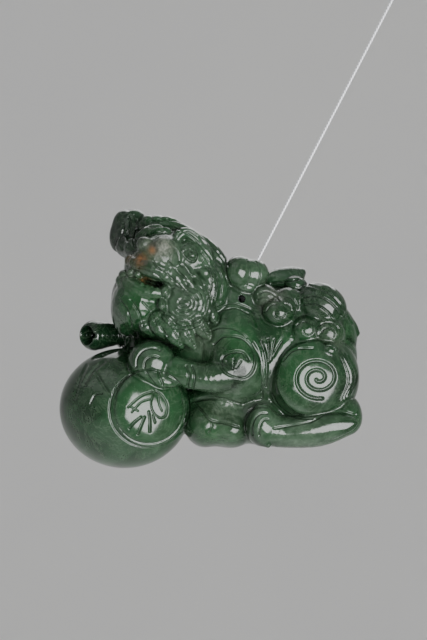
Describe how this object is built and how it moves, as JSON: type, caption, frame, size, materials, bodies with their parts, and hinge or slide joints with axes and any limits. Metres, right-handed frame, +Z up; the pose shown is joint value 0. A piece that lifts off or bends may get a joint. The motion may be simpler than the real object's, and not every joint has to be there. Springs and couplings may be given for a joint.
{
  "type": "jade figurine",
  "caption": "Small polished jade carving of a lying mythical beast with its forepaws on a tied treasure bag, hung by a thin thread.",
  "frame": {"origin": "the point inside the top of the thread's loop where a hook bears", "axes": "+Z up along the taut thread, +X towards the beast's rump, +Y towards the beast's right side; the stone hangs with its nose and bag end lowered by 27.3 degrees"},
  "size_m": [0.0622, 0.0265, 0.1216],
  "materials": {
    "jade": "polished, mottled dark green with paler and rust-brown patches",
    "thread": "fine silvery twisted nylon"
  },
  "bodies": {
    "line": {"hanging_line": "thread", "stopper_knot": "thread", "loop_knot": "thread", "hang_loop": "thread"},
    "carving": {"bag_medallion": "jade", "bag_body": "jade", "bag_collar": "jade", "bag_mouth": "jade", "torso": "jade", "nape": "jade", "chest": "jade", "belly": "jade", "left_shoulder": "jade", "left_forearm": "jade", "left_fore_paw": "jade", "left_haunch": "jade", "left_hind_foot": "jade", "right_shoulder": "jade", "right_forearm": "jade", "right_fore_paw": "jade", "right_haunch": "jade", "right_hind_foot": "jade", "skull": "jade", "muzzle": "jade", "lower_jaw": "jade", "left_cheek": "jade", "right_mane": "jade", "beard": "jade", "crest": "jade", "left_ear": "jade", "right_ear": "jade", "tail": "jade", "tail_tip": "jade", "tail_curls": "jade", "back_curl": "jade"}
  },
  "joints": [
    {"name": "carving_turn", "type": "hinge", "parent": "line", "child": "carving", "pos_m": [0, 0, -0.0794], "axis": [0, 0, 1], "continuous": true}
  ]
}
